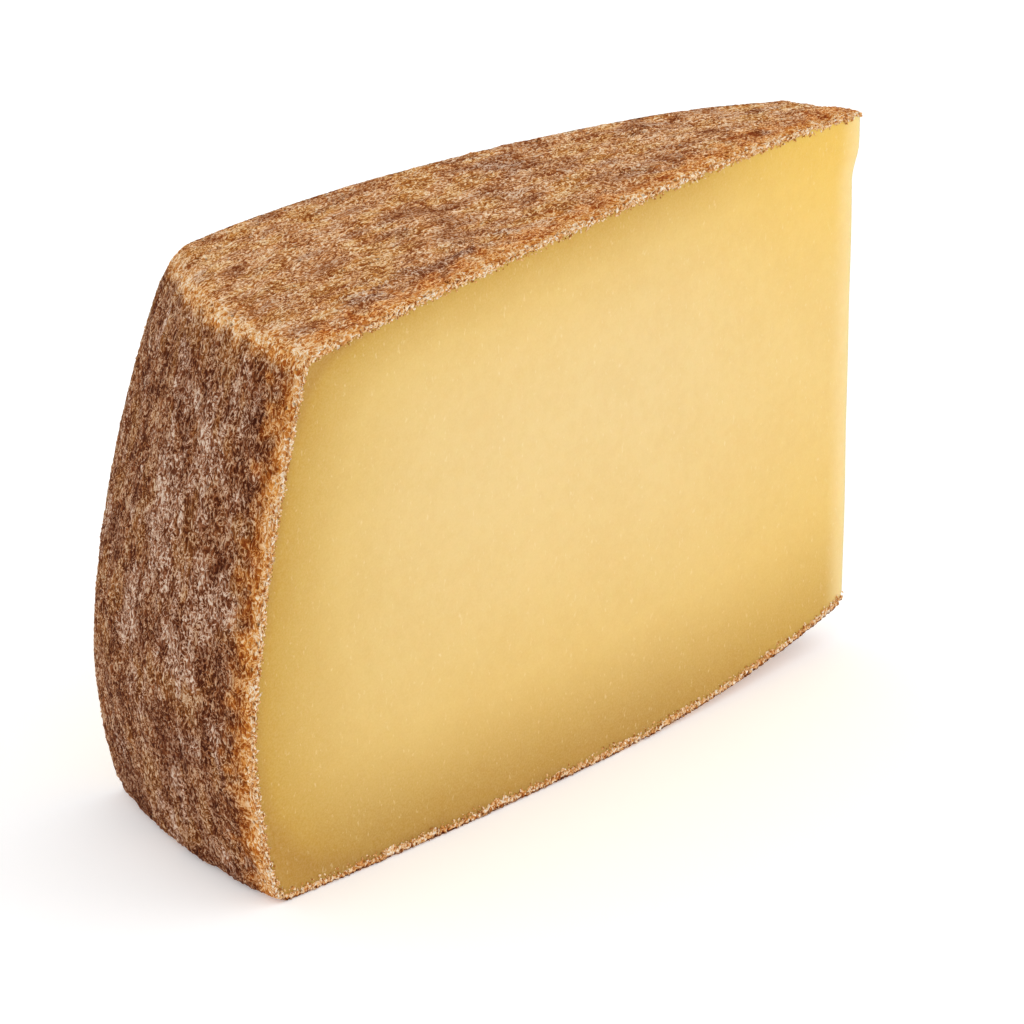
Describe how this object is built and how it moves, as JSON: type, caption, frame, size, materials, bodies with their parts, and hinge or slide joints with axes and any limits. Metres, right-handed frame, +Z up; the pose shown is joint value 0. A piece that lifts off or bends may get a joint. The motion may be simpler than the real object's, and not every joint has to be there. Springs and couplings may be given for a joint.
{
  "type": "gruyere wedge",
  "caption": "Standing wedge of hard cheese from the rim of a wheel: domed rind top, bellied rind rim, flat rind base, two converging cut faces and a short oblique inner end.",
  "frame": {"origin": "middle of the wedge's box in X and Y, on the surface that the base rests on", "axes": "+X from the rim of the wheel towards the narrow inner end, +Y from the cut face that the picture shows towards the hidden one, +Z up, as the piece stood in the wheel"},
  "size_m": [0.1683, 0.057, 0.1153],
  "materials": {
    "gruyere_paste": "smooth waxy cut cheese, pale yellow, golden towards the rind",
    "gruyere_rind": "dry brown crust, fibrous and pitted, with a dusty pale bloom"
  },
  "bodies": {
    "root": {"gruyere_wedge": "gruyere_paste"}
  },
  "joints": []
}
